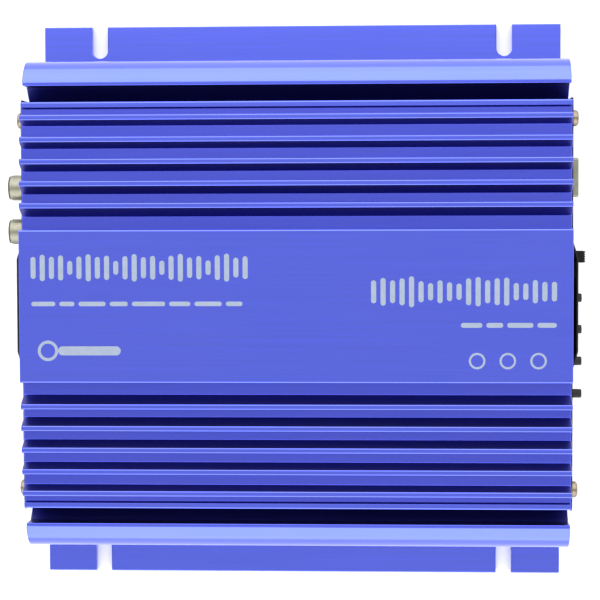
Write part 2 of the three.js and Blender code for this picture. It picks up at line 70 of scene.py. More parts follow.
# ---------------------------------------------------------------- driving dimensions, in millimetres
HALF_LENGTH = 91.1            # of the extrusion, along X
PRINT_THICK = 0.02            # the panel's print, the topmost surface of the model
FOOT_REACH, FOOT_THICK = 97.0, 2.5
SLOT_X, SLOT_WIDTH, SLOT_END = 71.4, 5.5, 85.9
SHOULDER_REACH, SHOULDER_RADIUS, SHOULDER_Z = 82.05, 9.7, 32.7
LIP_OUTER, LIP_INNER, LIP_Z = 74.3, 73.25, 41.7
SKIRT_WALL = 2.4
BODY_REACH, BODY_INNER = 67.7, 65.0
GUTTER_HIGH_Z, GUTTER_LOW_Z, GUTTER_WALL = 35.2, 30.0, 3.0
FLOOR_Z = 44.0
RIM_Z, RIM_WIDTH, RIM_SLOPE = 45.0, 1.8, 0.6
PANEL_Z = 50.0 - PRINT_THICK
PANEL_HALF = 25.3
FIN_COUNT, FIN_FIRST_Y, FIN_PITCH, FIN_HALF_TOP = 5, 62.5, 7.28, 0.87
FIN_FIRST_RISE, FIN_RISE_STEP, FIN_SLOPE, FIN_DRAFT = 3.4, 0.42, 0.56, 0.15
CEILING_Z, POCKET_CEILING_Z, POCKET_HALF = 40.5, 41.7, 21.0
SCREW_Y, SCREW_LOW_Z, SCREW_HIGH_Z = 62.0, 8.0, 36.0
GROOVE_RADIUS, GROOVE_MOUTH = 1.6, 1.0
RAIL_INNER, RAIL_HALF = 58.0, 4.4
COVER_SCREW_X, COVER_SCREW_Y = 78.0, 61.5
CLEARANCE = 0.3
PLATE_INNER_X, PLATE_THICK, PLATE_HALF = 91.2, 0.5, 68.6
PLATE_LOW_Z, PLATE_HIGH_Z, PLATE_CORNER = 0.6, 42.0, 1.6
BOSS_RISE, BOSS_FLAT_HALF, BOSS_BASE_HALF = 1.8, 15.5, 21.3
HEAD_RADIUS, HEAD_HEIGHT, SHANK_RADIUS, SHANK_LENGTH = 2.75, 2.1, 1.25, 10.0
COUNTERSUNK_RADIUS, COUNTERSUNK_LENGTH = 2.6, 8.0
RECESS_DEPTH = 1.2            # of the screws' driver recesses
SOCKET_Z = 20.0
CONTROL_Z = 25.0
SPEAKER = {"columns": 4, "rows": 2, "pitch": 4.2}
POWER = {"columns": 3, "rows": 2, "pitch": 4.9}


# ---------------------------------------------------------------- outlines
def arc(u, v, radius, start, end, steps):
    """Points of an arc, for use in an outline. The angles are in degrees."""
    angles = [math.radians(start + (end - start) * step / steps) for step in range(steps + 1)]
    return [(u + radius * math.cos(a), v + radius * math.sin(a), 0) for a in angles]


def rounded(corners, steps=5):
    """A closed outline from corners of (u, v, radius), each rounded off by its radius."""
    outline = []
    for index, (u, v, radius) in enumerate(corners):
        here = Vector((u, v))
        if radius == 0:
            outline.append(here)
            continue
        back = (Vector(corners[index - 1][:2]) - here).normalized()
        ahead = (Vector(corners[(index + 1) % len(corners)][:2]) - here).normalized()
        half_angle = back.angle(ahead) / 2
        reach = radius / math.tan(half_angle)
        middle = here + (back + ahead).normalized() * radius / math.sin(half_angle)
        first = here + back * reach - middle
        last = here + ahead * reach - middle
        for step in range(steps + 1):
            outline.append(middle + first.lerp(last, step / steps).normalized() * radius)
    return outline


def rectangle(u, v, width, height, radius=0.0, steps=5):
    """A rectangle about (u, v), with its corners rounded by the radius."""
    half_u, half_v = width / 2, height / 2
    signs = [(-1, -1), (1, -1), (1, 1), (-1, 1)]
    return rounded([(u + a * half_u, v + b * half_v, radius) for a, b in signs], steps)


def circle(u, v, radius, sides=40):
    turns = [2 * math.pi * side / sides for side in range(sides)]
    return [Vector((u + radius * math.cos(t), v + radius * math.sin(t))) for t in turns]


def wound(outline, counterclockwise):
    """The outline, turned round if needed so that it runs the asked way."""
    area = sum(a.cross(b) for a, b in zip(outline, outline[1:] + outline[:1]))
    return outline if (area > 0) == counterclockwise else outline[::-1]


def drawn_in(outline, distance):
    """The outline moved into the material, which lies on its left."""
    moved = []
    for index, point in enumerate(outline):
        ahead = (outline[(index + 1) % len(outline)] - outline[index - 1]).normalized()
        moved.append(point + Vector((-ahead.y, ahead.x)) * distance)
    return moved


# ---------------------------------------------------------------- solids from outlines
def place_x(u, v, distance):
    """Stands an outline across X, with u along Y and v along Z."""
    return (distance, u, v)


def place_z(u, v, distance):
    """Lays an outline flat, with u along X and v along Y."""
    return (u, v, distance)


def lofted(sections, place):
    """A closed surface through sections of (outlines, distance). The first outline is the outside,
    and any more are holes."""
    solid = bmesh.new()
    rings = []
    for outlines, distance in sections:
        rings.append([[solid.verts.new(place(u, v, distance)) for u, v in line] for line in outlines])
    for lower, upper in zip(rings, rings[1:]):
        for near, far in zip(lower, upper):
            for index in range(len(near)):
                solid.faces.new((near[index - 1], near[index], far[index], far[index - 1]))
    for end in (0, -1):
        verts = [vert for ring in rings[end] for vert in ring]
        flat = [[Vector((u, v, 0)) for u, v in line] for line in sections[end][0]]
        for triangle in tessellate_polygon(flat):
            solid.faces.new([verts[corner] for corner in triangle])
    bmesh.ops.recalc_face_normals(solid, faces=solid.faces)
    return solid


def extruded(outlines, start, end, place=place_x, chamfer=0.0):
    """Outlines run from start to end, with the end edges broken by a small chamfer."""
    outside = wound(outlines[0], True)
    lines = [outside] + [wound(hole, False) for hole in outlines[1:]]
    if chamfer == 0:
        return lofted([(lines, start), (lines, end)], place)
    small = [drawn_in(line, chamfer) for line in lines]
    return lofted([(small, start), (lines, start + chamfer), (lines, end - chamfer), (small, end)], place)


def turned(profile, sides=40):
    """A profile of (radius, height) corners turned about Z. It starts and ends on the axis."""
    solid = bmesh.new()
    rings = []
    for radius, height in profile:
        count = sides if radius > 1e-6 else 1
        turns = [2 * math.pi * side / sides for side in range(count)]
        rings.append([solid.verts.new((radius * math.cos(t), radius * math.sin(t), height)) for t in turns])
    for lower, upper in zip(rings, rings[1:]):
        for side in range(sides):
            below = [lower[side - 1], lower[side]] if len(lower) > 1 else lower
            above = [upper[side], upper[side - 1]] if len(upper) > 1 else upper
            solid.faces.new(below + above)
    bmesh.ops.recalc_face_normals(solid, faces=solid.faces)
    return solid


def together(solids):
    """Several solids in one."""
    whole = bmesh.new()
    for solid in solids:
        part = bpy.data.meshes.new("part")
        solid.to_mesh(part)
        solid.free()
        whole.from_mesh(part)
        bpy.data.meshes.remove(part)
    return whole


# ---------------------------------------------------------------- pieces
def centre(node):
    """The middle of a CAD node, in millimetres."""
    low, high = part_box(node)
    return (low + high) / 2 / MM


def facing(direction, place=(0, 0, 0)):
    """Turns a shape made about Z to face along direction, at a place in millimetres."""
    turn = Vector(direction).to_track_quat("Z", "Y").to_matrix().to_4x4()
    return Matrix.Translation(Vector(place) * MM) @ turn


def new_object(name, solid):
    """An object in metres from a solid in millimetres."""
    bmesh.ops.scale(solid, vec=(MM, MM, MM), verts=solid.verts)
    mesh = bpy.data.meshes.new(name)
    solid.to_mesh(mesh)
    solid.free()
    made = bpy.data.objects.new(name, mesh)
    bpy.context.collection.objects.link(made)
    return made


def apply_modifiers(made):
    depsgraph = bpy.context.evaluated_depsgraph_get()
    mesh = bpy.data.meshes.new_from_object(made.evaluated_get(depsgraph))
    made.modifiers.clear()
    made.data = mesh


def carve(made, solid, operation="DIFFERENCE"):
    """Cuts a solid out of an object that stands at the origin."""
    cutter = new_object("cutter", solid)
    cut = made.modifiers.new("cut", "BOOLEAN")
    cut.operation = operation
    cut.solver = "EXACT"
    cut.object = cutter
    apply_modifiers(made)
    bpy.data.objects.remove(cutter)


def break_edges(made, width, segments=2, angle=30):
    """Rounds the sharp edges by a width in millimetres."""
    bevel = made.modifiers.new("edges", "BEVEL")
    bevel.width = width * MM
    bevel.segments = segments
    bevel.limit_method = "ANGLE"
    bevel.angle_limit = math.radians(angle)
    bevel.use_clamp_overlap = True


def finish(made, body, material, nodes=(), matrix=None, sharp=32):
    """Shades a piece, gives it its material and body, and lets it stand for its CAD nodes."""
    if made.modifiers:
        apply_modifiers(made)
    made.data.shade_smooth()
    made.data.set_sharp_from_angle(angle=math.radians(sharp))
    weighted = made.modifiers.new("flat faces stay flat", "WEIGHTED_NORMAL")
    weighted.keep_sharp = True
    made.data.materials.clear()
    made.data.materials.append(material)
    if matrix is not None:
        made.matrix_world = matrix
    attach(made, body)
    if nodes:
        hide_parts(*nodes)
    return made


def softened(node, name, width, material, segments=2):
    """A CAD node's own shape with its edges rounded."""
    source = bmesh.new()
    source.from_mesh(frame["nodes"][node].data)
    bmesh.ops.remove_doubles(source, verts=source.verts, dist=1e-6)
    bmesh.ops.dissolve_limit(source, angle_limit=math.radians(1), verts=source.verts, edges=source.edges)
    bmesh.ops.scale(source, vec=(1 / MM, 1 / MM, 1 / MM), verts=source.verts)
    made = new_object(name, source)
    break_edges(made, width, segments)
    body = frame["nodes"][node]["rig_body"]
    return finish(made, body, material, [node])


# ---------------------------------------------------------------- materials
class Finish:
    """A material whose colour, roughness and relief come from layers of noise."""

    def __init__(self, name, color, metallic, roughness, **sockets):
        self.material = bpy.data.materials.new(name)
        self.material.use_nodes = True
        self.tree = self.material.node_tree
        self.shader = self.tree.nodes["Principled BSDF"]
        self.color = color
        self.shader.inputs["Base Color"].default_value = (*color, 1)
        self.shader.inputs["Metallic"].default_value = metallic
        self.shader.inputs["Roughness"].default_value = roughness
        for socket, value in sockets.items():
            self.shader.inputs[socket.replace("_", " ")].default_value = value
        self.place = self.tree.nodes.new("ShaderNodeTexCoord").outputs["Object"]
        self.normal = None

    def join(self, output, target):
        self.tree.links.new(output, target)

    def noise(self, size, detail=2.0, stretch=(1, 1, 1)):
        """Noise with features of a size in millimetres, longer on each axis by its stretch."""
        scale = self.tree.nodes.new("ShaderNodeMapping")
        scale.inputs["Scale"].default_value = [1 / (size * MM * s) for s in stretch]
        texture = self.tree.nodes.new("ShaderNodeTexNoise")
        texture.inputs["Scale"].default_value = 1
        texture.inputs["Detail"].default_value = detail
        self.join(self.place, scale.inputs["Vector"])
        self.join(scale.outputs["Vector"], texture.inputs["Vector"])
        return texture.outputs["Fac"]

    def ranged(self, value, low, high, start=0.3, stop=0.7):
        """The value, spread from low to high."""
        spread = self.tree.nodes.new("ShaderNodeMapRange")
        for name, number in (("From Min", start), ("From Max", stop), ("To Min", low), ("To Max", high)):
            spread.inputs[name].default_value = number
        self.join(value, spread.inputs["Value"])
        return spread.outputs["Result"]

    def vary_color(self, value, other, start=0.3, stop=0.7):
        """Moves the colour towards another one with the value."""
        mix = self.tree.nodes.new("ShaderNodeMix")
        mix.data_type = "RGBA"
        source = self.shader.inputs["Base Color"]
        if source.links:
            self.join(source.links[0].from_socket, mix.inputs["A"])
        else:
            mix.inputs["A"].default_value = (*self.color, 1)
        mix.inputs["B"].default_value = (*other, 1)
        self.join(self.ranged(value, 0, 1, start, stop), mix.inputs["Factor"])
        self.join(mix.outputs["Result"], source)
        return self

    def vary_roughness(self, value, low, high):
        self.join(self.ranged(value, low, high), self.shader.inputs["Roughness"])
        return self

    def relief(self, value, depth):
        """Adds a bump of a depth in millimetres on top of those before it."""
        bump = self.tree.nodes.new("ShaderNodeBump")
        bump.inputs["Distance"].default_value = depth * MM
        bump.inputs["Strength"].default_value = 1
        self.join(value, bump.inputs["Height"])
        if self.normal is not None:
            self.join(self.normal, bump.inputs["Normal"])
        self.normal = bump.outputs["Normal"]
        self.join(self.normal, self.shader.inputs["Normal"])
        return self


def anodised(name, color, roughness):
    """Blue dye under a clear oxide skin, on metal drawn along X."""
    made = Finish(name, color, 1.0, roughness, Coat_Weight=0.2, Coat_Roughness=0.2, Coat_IOR=1.6)
    made.vary_color(made.noise(38, 3), [c * f for c, f in zip(color, (1.13, 1.05, 0.97))])
    made.vary_color(made.noise(0.9, 2, (60, 1, 1)), [c * 1.07 for c in color])
    made.vary_roughness(made.noise(0.5, 3, (90, 1, 1)), roughness - 0.02, roughness + 0.03)
    made.relief(made.noise(0.35, 2, (140, 1, 1)), 0.0008)
    made.relief(made.noise(0.16, 2), 0.0008)
    return made.material


def powder_coat():
    """Black paint with a fine orange-peel surface."""
    made = Finish("powder_coat", (0.006, 0.006, 0.006), 0.0, 0.5, Specular_IOR_Level=0.15)
    made.vary_color(made.noise(14, 3), (0.010, 0.010, 0.010))
    made.vary_roughness(made.noise(2.5, 3), 0.42, 0.58)
    made.relief(made.noise(0.45, 3), 0.02)
    made.relief(made.noise(0.12, 2), 0.006)
    return made.material


def turned_nickel(name, color, roughness):
    """Plated metal with lines round its own axis."""
    made = Finish(name, color, 1.0, roughness)
    made.vary_color(made.noise(1.6, 3), [c * 0.86 for c in color])
    made.vary_roughness(made.noise(0.5, 3), roughness - 0.05, roughness + 0.08)
    made.relief(made.noise(0.09, 2, (60, 60, 1)), 0.0015)
    return made.material


def moulded(name, color, roughness, grain=0.16, depth=0.004, **sockets):
    """Plastic with the fine grain of its mould."""
    made = Finish(name, color, 0.0, roughness, **sockets)
    made.vary_color(made.noise(3.5, 3), [c * 0.82 for c in color])
    made.vary_roughness(made.noise(0.8, 3), max(roughness - 0.06, 0.02), roughness + 0.06)
    made.relief(made.noise(grain, 2), depth)
    return made.material


def zinc_steel():
    """Plated sheet with faint lines along X."""
    made = Finish("zinc_steel", (0.55, 0.54, 0.50), 1.0, 0.34)
    made.vary_color(made.noise(1.4, 3), (0.46, 0.46, 0.45))
    made.vary_roughness(made.noise(0.6, 3, (8, 1, 1)), 0.28, 0.44)
    made.relief(made.noise(0.2, 2, (10, 1, 1)), 0.002)
    return made.material


def solder_mask():
    """Green lacquer, lighter where the tracks run under it."""
    made = Finish("solder_mask", (0.012, 0.09, 0.035), 0.0, 0.3, Coat_Weight=0.3)
    made.vary_color(made.noise(1.2, 0, (6, 1, 1)), (0.03, 0.16, 0.06), 0.52, 0.54)
    made.vary_roughness(made.noise(2, 2), 0.25, 0.38)
    made.relief(made.noise(1.2, 0, (6, 1, 1)), 0.02)
    return made.material


def enamelled_copper():
    """Wound wire under clear enamel. Its turns run up the side of the ring."""
    made = Finish("enamelled_copper", (0.42, 0.13, 0.04), 0.8, 0.28, Coat_Weight=0.5)
    made.vary_color(made.noise(0.7, 2, (1, 1, 20)), (0.55, 0.20, 0.07))
    made.relief(made.noise(0.6, 1, (1, 1, 30)), 0.08)
    return made.material


def print_ink():
    """Pale ink, printed a little unevenly."""
    made = Finish("print_ink", (0.155, 0.187, 0.252), 0.0, 0.45)
    made.vary_color(made.noise(2.2, 3), (0.178, 0.21, 0.276))
    made.vary_roughness(made.noise(0.6, 2), 0.38, 0.52)
    made.relief(made.noise(0.2, 2), 0.001)
    return made.material


# The floors, the fins' flanks and the gutters get darker, rougher copies of the anodised material: painted
# shade, darkest on the steep flanks and in the gutters.
ANODISED = anodised("anodised_aluminium", (0.090, 0.122, 0.68), 0.14)
SHADED_FLOORS = anodised("anodised_floors_painted_shade", (0.059, 0.077, 0.52), 0.22)
SHADED_FLANKS = anodised("anodised_flanks_painted_shade", (0.055, 0.060, 0.26), 0.35)
COATED = powder_coat()
SCREW_METAL = turned_nickel("screw_nickel", (0.23, 0.19, 0.135), 0.30)
JACK_METAL = turned_nickel("jack_nickel", (0.235, 0.230, 0.178), 0.36)
BRASS = turned_nickel("brass", (0.62, 0.42, 0.12), 0.24)
BLACK = moulded("black_plastic", (0.005, 0.005, 0.005), 0.5, Specular_IOR_Level=0.12)
GREY = moulded("grey_plastic", (0.013, 0.013, 0.012), 0.45, Specular_IOR_Level=0.2)
WHITE = moulded("white_plastic", (0.78, 0.78, 0.74), 0.36)
RED = moulded("red_plastic", (0.42, 0.012, 0.010), 0.36)
AMBER = moulded("amber_plastic", (0.85, 0.33, 0.02), 0.12, 0.5, 0.002, Transmission_Weight=0.75, IOR=1.5)
GREEN_LENS = moulded("green_lens", (0.16, 0.72, 0.25), 0.10, 0.6, 0.002, Transmission_Weight=0.7)
RED_LENS = moulded("red_lens", (0.80, 0.07, 0.04), 0.10, 0.6, 0.002, Transmission_Weight=0.7)
STEEL = zinc_steel()
BOARD = solder_mask()
COPPER = enamelled_copper()
INK = print_ink()


# ---------------------------------------------------------------- heat sink housing
def rail(z):
    """A rail on the inside of the wall, with a round screw groove that opens towards the middle."""
    mouth = math.degrees(math.asin(GROOVE_MOUTH / GROOVE_RADIUS))
    return [
        (BODY_INNER, z - RAIL_HALF, 0.4), (RAIL_INNER, z - RAIL_HALF, 0.5),
        (RAIL_INNER, z - GROOVE_MOUTH, 0.2),
        *arc(SCREW_Y, z, GROOVE_RADIUS, 180 + mouth, 540 - mouth, 24),
        (RAIL_INNER, z + GROOVE_MOUTH, 0.2),
        (RAIL_INNER, z + RAIL_HALF, 0.5), (BODY_INNER, z + RAIL_HALF, 0.4),
    ]


def half_section():
    """The +Y half of the extrusion's section, from the top edge of the panel round to its ceiling."""
    corners = [(PANEL_HALF, PANEL_Z, 0.55), (PANEL_HALF + FIN_DRAFT, FLOOR_Z, 0.1)]
    for fin in range(FIN_COUNT - 1, -1, -1):
        middle = FIN_FIRST_Y - FIN_PITCH * fin
        rise = FIN_FIRST_RISE + FIN_RISE_STEP * fin
        corners += [
            (middle - FIN_HALF_TOP - FIN_SLOPE * rise, FLOOR_Z, 0.3),
            (middle - FIN_HALF_TOP, FLOOR_Z + rise, 0.45),
            (middle + FIN_HALF_TOP, FLOOR_Z + rise, 0.5),
            (middle + FIN_HALF_TOP + FIN_DRAFT, FLOOR_Z, 0.1),
        ]
    rim_inner = BODY_REACH - RIM_WIDTH
    corners += [
        (rim_inner - RIM_SLOPE, FLOOR_Z, 0.15), (rim_inner, RIM_Z, 0.12), (BODY_REACH, RIM_Z, 0.5),
        (BODY_REACH, GUTTER_LOW_Z, 0.4), (LIP_INNER, GUTTER_HIGH_Z, 0.4),
        (LIP_INNER, LIP_Z, 0.25),
        (LIP_OUTER, LIP_Z, 0.12),
    ]
    arc_y = SHOULDER_REACH - SHOULDER_RADIUS
    start = math.degrees(math.acos((LIP_OUTER - arc_y) / SHOULDER_RADIUS))
    corners += [
        *arc(arc_y, SHOULDER_Z, SHOULDER_RADIUS, start, 0, 28),
        (SHOULDER_REACH, FOOT_THICK, 0.5),
        (FOOT_REACH, FOOT_THICK, 0.3), (FOOT_REACH, 0, 0.3), (BODY_INNER, 0, 0.2),
        *rail(SCREW_LOW_Z), *rail(SCREW_HIGH_Z),
        (BODY_INNER, CEILING_Z, 0.4), (POCKET_HALF, CEILING_Z, 0.3), (POCKET_HALF, POCKET_CEILING_Z, 0.3),
    ]
    return corners


def skirt_hollow(side):
    """The hollow inside a skirt, open at both ends. side is 1 for +Y and -1 for -Y."""
    arc_y = SHOULDER_REACH - SHOULDER_RADIUS
    radius = SHOULDER_RADIUS - SKIRT_WALL
    parting_y = LIP_INNER + SKIRT_WALL
    parting = math.degrees(math.acos((parting_y - arc_y) / radius))
    corners = [
        (BODY_REACH, FOOT_THICK, 0.5), (SHOULDER_REACH - SKIRT_WALL, FOOT_THICK, 0.5),
        *arc(arc_y, SHOULDER_Z, radius, 0, parting, 16),
        (parting_y, GUTTER_HIGH_Z - GUTTER_WALL + SKIRT_WALL, 0.4),
        (BODY_REACH, GUTTER_LOW_Z - GUTTER_WALL, 0.5),
    ]
    return rounded([(side * y, z, radius) for y, z, radius in corners])


def slot_cutter(end, side):
    """A U slot through the foot, open at its outer edge, with its upper and lower edges broken."""
    round_y = SLOT_END + SLOT_WIDTH / 2
    radius = SLOT_WIDTH / 2

    def outline(grow):
        points = arc(0, round_y, radius + grow, 180, 360, 20)
        points = [*points, (radius + grow, FOOT_REACH + 2, 0), (-radius - grow, FOOT_REACH + 2, 0)]
        return wound([Vector((end * SLOT_X + x, side * y)) for x, y, _ in points], True)

    chamfer = 0.2
    return lofted([([outline(chamfer * 2)], -chamfer), ([outline(0)], chamfer),
                   ([outline(0)], FOOT_THICK - chamfer), ([outline(chamfer * 2)], FOOT_THICK + chamfer)],
                  place_z)


def housing():
    """The extrusion. Its floors, its fins' flanks and its gutters get darker, rougher copies of its
    material: painted shade.
    """
    half = half_section()
    section = rounded(half + [(-y, z, radius) for y, z, radius in reversed(half)])
    made = new_object("housing_extrusion", extruded(
        [section, skirt_hollow(1), skirt_hollow(-1)], -HALF_LENGTH, HALF_LENGTH, chamfer=0.14))
    ends_and_sides = [(end, side) for end in (-1, 1) for side in (-1, 1)]
    carve(made, together([slot_cutter(end, side) for end, side in ends_and_sides]))
    holes = [circle(end * COVER_SCREW_X, side * COVER_SCREW_Y, SHANK_RADIUS + CLEARANCE, 24)
             for end, side in ends_and_sides]
    carve(made, together([extruded([hole], -1, 11, place_z) for hole in holes]))
    finish(made, "case", ANODISED, ["heatsink_housing"])
    # The floors, steep flanks and gutters take the darker copies below, as painted shade.
    for recessed in (SHADED_FLOORS, SHADED_FLANKS):
        made.data.materials.append(recessed)
    floors, flanks = 1, 2
    for face in made.data.polygons:
        reach, height = abs(face.center.y) / MM, face.center.z / MM
        on_floor = height < FLOOR_Z + 0.05
        steep = abs(face.normal.z) < 0.77
        among_fins = PANEL_HALF < reach < BODY_REACH - RIM_WIDTH + 0.01 and height > FLOOR_Z - 0.1
        in_gutter = (BODY_REACH - 0.01 < reach < LIP_INNER + 0.01
                     and GUTTER_LOW_Z < height < LIP_Z - 0.2)
        if (on_floor or steep) and abs(face.normal.x) < 0.5 and (among_fins or in_gutter):
            face.material_index = floors if among_fins and on_floor else flanks


housing()


# ---------------------------------------------------------------- screws
def cross(arm, reach):
    """An outline of four arms. arm is half their width, reach is their length."""
    corners = []
    for quarter in range(4):
        turn = Matrix.Rotation(math.radians(90 * quarter), 2)
        corners += [turn @ Vector((reach, -arm)), turn @ Vector((reach, arm)), turn @ Vector((arm, arm))]
    return corners


def recess(top, depth):
    """A tapering cross recess, for a driver."""
    return lofted([([cross(0.26, 0.55)], top - depth), ([cross(0.42, 1.75)], top - 0.1),
                   ([cross(0.55, 2.0)], top + 0.2)], place_z)


def screw(name, profile, recess_top):
    """A turned screw along Z, with its recess in the upper end."""
    made = new_object(name, turned(rounded(profile)))
    carve(made, recess(recess_top, RECESS_DEPTH))
    break_edges(made, 0.05, 1, 40)
    return made


def pan_profile():
    return [
        (0, -SHANK_LENGTH, 0), (SHANK_RADIUS * 0.7, -SHANK_LENGTH, 0.1),
        (SHANK_RADIUS, 1 - SHANK_LENGTH, 0.1), (SHANK_RADIUS, 0, 0),
        (HEAD_RADIUS, 0, 0.18), (HEAD_RADIUS, HEAD_HEIGHT, 1.15), (0, HEAD_HEIGHT, 0),
    ]


def countersunk_profile():
    return [
        (0, -COUNTERSUNK_LENGTH, 0), (SHANK_RADIUS * 0.7, -COUNTERSUNK_LENGTH, 0.1),
        (SHANK_RADIUS, 0.8 - COUNTERSUNK_LENGTH, 0.1), (SHANK_RADIUS, -1.5, 0.3),
        (COUNTERSUNK_RADIUS, -0.15, 0.08), (COUNTERSUNK_RADIUS, 0, 0.05), (0, 0, 0),
    ]


def screws():
    """Each screw's head is at the outer end of its CAD node, a little turned from the next."""
    for number in range(1, 9):
        node = f"end_plate_screw_{number}"
        made = screw(f"{node}_fine", pan_profile(), HEAD_HEIGHT)
        low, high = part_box(node)
        middle = centre(node)
        end = 1 if middle.x > 0 else -1
        seat_x = (high.x if end > 0 else low.x) / MM - end * HEAD_HEIGHT
        place = facing((end, 0, 0), (seat_x, middle.y, middle.z))
        spin = Matrix.Rotation(math.radians(3 * number - 14), 4, "Z")
        finish(made, "case", SCREW_METAL, [node], place @ spin)
    for number in range(1, 5):
        node = f"cover_screw_{number}"
        made = screw(f"{node}_fine", countersunk_profile(), 0)
        middle = centre(node)
        place = facing((0, 0, -1), (middle.x, middle.y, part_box(node)[0].z / MM))
        spin = Matrix.Rotation(math.radians(29 * number), 4, "Z")
        finish(made, "case", SCREW_METAL, [node], place @ spin)


screws()


# ---------------------------------------------------------------- bottom cover and end plates
softened("bottom_cover", "bottom_cover_sheet", 0.3, COATED)


def socket_size(grid):
    """The outer width and height of a socket."""
    return grid["columns"] * grid["pitch"] + 1.6, grid["rows"] * grid["pitch"] + 1.6


def round_opening(node, radius):
    """A round hole about a node's axis, with clearance."""
    middle = centre(node)
    return circle(middle.y, middle.z, radius + CLEARANCE)


def input_openings():
    openings = []
    for number in (1, 2):
        low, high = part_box(f"rca_shell_{number}")
        openings.append(round_opening(f"rca_shell_{number}", (high.y - low.y) / 2 / MM))
    for node, grid in (("speaker_socket", SPEAKER), ("power_socket", POWER)):
        width, height = socket_size(grid)
        openings.append(rectangle(centre(node).y, SOCKET_Z, width + 0.7, height + 0.7, 0.5))
    openings.append(rectangle(centre("fuse_holder").y, SOCKET_Z, 21.5, 7.9, 0.6))
    return openings


def control_openings():
    usb_low, usb_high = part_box("usb_shell")
    usb = (usb_high - usb_low) / MM
    openings = [rectangle(centre("usb_shell").y, CONTROL_Z, usb.y + 0.7, usb.z + 0.7, 0.6)]
    knob_low, knob_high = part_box("slide_switch_knob")
    knob = (knob_high - knob_low) / MM
    openings.append(rectangle(centre("slide_switch_body").y, CONTROL_Z, knob.y + 4.8, knob.z + 0.8, 0.4))
    openings += [round_opening(f"pot_shaft_{number}", 1.5) for number in range(1, 5)]
    openings += [round_opening(node, 1.5) for node in ("power_led", "protect_led")]
    return openings


def end_plate(name, end, openings, node):
    """Sheet steel pressed outwards in the middle, with rounded corners."""
    outer_x = PLATE_INNER_X + PLATE_THICK
    bend = 1.6
    corners = []
    for x, radius in ((outer_x, bend + PLATE_THICK / 2), (PLATE_INNER_X, bend - PLATE_THICK / 2)):
        side = [
            (x, -PLATE_HALF, 0), (x, -BOSS_BASE_HALF, radius), (x + BOSS_RISE, -BOSS_FLAT_HALF, radius),
            (x + BOSS_RISE, BOSS_FLAT_HALF, radius), (x, BOSS_BASE_HALF, radius), (x, PLATE_HALF, 0),
        ]
        corners += side if x == outer_x else side[::-1]
    section = rounded([(end * x, y, radius) for x, y, radius in corners])
    made = new_object(name, extruded([section], PLATE_LOW_Z - 1, PLATE_HIGH_Z + 1, place_z))
    height = PLATE_HIGH_Z - PLATE_LOW_Z
    border = rectangle(0, PLATE_LOW_Z + height / 2, PLATE_HALF * 2 - 0.01, height, PLATE_CORNER, 8)
    reach = sorted((end * (PLATE_INNER_X - 3), end * (PLATE_INNER_X + 5)))
    carve(made, extruded([border], *reach), "INTERSECT")
    for y in (-SCREW_Y, SCREW_Y):
        for z in (SCREW_LOW_Z, SCREW_HIGH_Z):
            openings.append(circle(y, z, SHANK_RADIUS + CLEARANCE, 24))
    carve(made, together([extruded([opening], *reach) for opening in openings]))
    break_edges(made, 0.14, 2)
    finish(made, "case", COATED, [node])


end_plate("input_plate_pressed", -1, input_openings(), "end_plate_input")
end_plate("control_plate_pressed", 1, control_openings(), "end_plate_control")


# ---------------------------------------------------------------- input jacks
def input_jacks():
    """Turned shells with a rolled mouth, a moulded insulator inside and a split centre contact."""
    for number, ring_plastic, slot in ((1, WHITE, "white_plastic"), (2, RED, "red_plastic")):
        low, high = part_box(f"rca_shell_{number}")
        axis = centre(f"rca_shell_{number}")
        radius = (high.z - low.z) / 2 / MM
        length = (high.x - low.x) / MM
        place = facing((-1, 0, 0), (high.x / MM, axis.y, axis.z))
        bore = radius - 0.7
        shell = [
            (0, 0, 0), (radius, 0, 0.2), (radius, length - 6.6, 0.1), (radius - 0.25, length - 6.4, 0.1),
            (radius - 0.25, length - 6.0, 0.1), (radius, length - 5.8, 0.1),
            (radius, length, 1.2), (bore + 0.25, length, 0.2), (bore, length - 0.6, 0.3),
            (bore, 1.4, 0.2), (0, 1.4, 0),
        ]
        made = new_object(f"rca_shell_{number}_turned", turned(rounded(shell, 6), 64))
        finish(made, "case", JACK_METAL, [f"rca_shell_{number}"], place)

        plug_low, plug_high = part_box(f"rca_insulator_{number}")
        start = (high.x - plug_high.x) / MM
        stop = (high.x - plug_low.x) / MM
        plug = [(0, start, 0), (2.6, start, 0.1), (2.6, stop, 0.35), (1.95, stop, 0.15),
                (1.9, start + 2.2, 0.1), (0, start + 2.2, 0)]
        made = new_object(f"rca_insulator_{number}_moulded", turned(rounded(plug), 48))
        finish(made, "case", ring_plastic, [f"rca_insulator_{number}"], place)

        pin_low, pin_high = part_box(f"rca_contact_{number}")
        start = (high.x - pin_high.x) / MM
        stop = (high.x - pin_low.x) / MM
        tube = [(0, start, 0), (1.6, start, 0.1), (1.6, stop, 0.2), (1.2, stop, 0.1),
                (1.2, start + 1.2, 0.1), (0, start + 1.2, 0)]
        made = new_object(f"rca_contact_{number}_split", turned(rounded(tube), 32))
        carve(made, extruded([rectangle(0, 0, 0.3, 6)], start + 4, stop + 1, place_z))
        finish(made, "case", BRASS, [f"rca_contact_{number}"], place)


input_jacks()
softened("rca_block", "rca_block_moulded", 0.4, BLACK, 3)


# ---------------------------------------------------------------- harness sockets
def harness_socket(node, grid):
    """The moulded socket, and a tinned pin standing in each of its cells."""
    softened(node, f"{node}_moulded", 0.22, BLACK)
    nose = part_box(node)[0].x / MM
    pins = []
    for column in range(grid["columns"]):
        for row in range(grid["rows"]):
            y = centre(node).y + (column - (grid["columns"] - 1) / 2) * grid["pitch"]
            z = SOCKET_Z + (row - (grid["rows"] - 1) / 2) * grid["pitch"]
            wide = [rectangle(y, z, 1.15, 1.15, 0.12, 2)]
            tip = [rectangle(y, z, 0.5, 0.5, 0.05, 2)]
            pins.append(lofted([(tip, nose + 2.2), (wide, nose + 3.2), (wide, nose + 10.6)], place_x))
    finish(new_object(f"{node}_pins", together(pins)), "case", JACK_METAL)


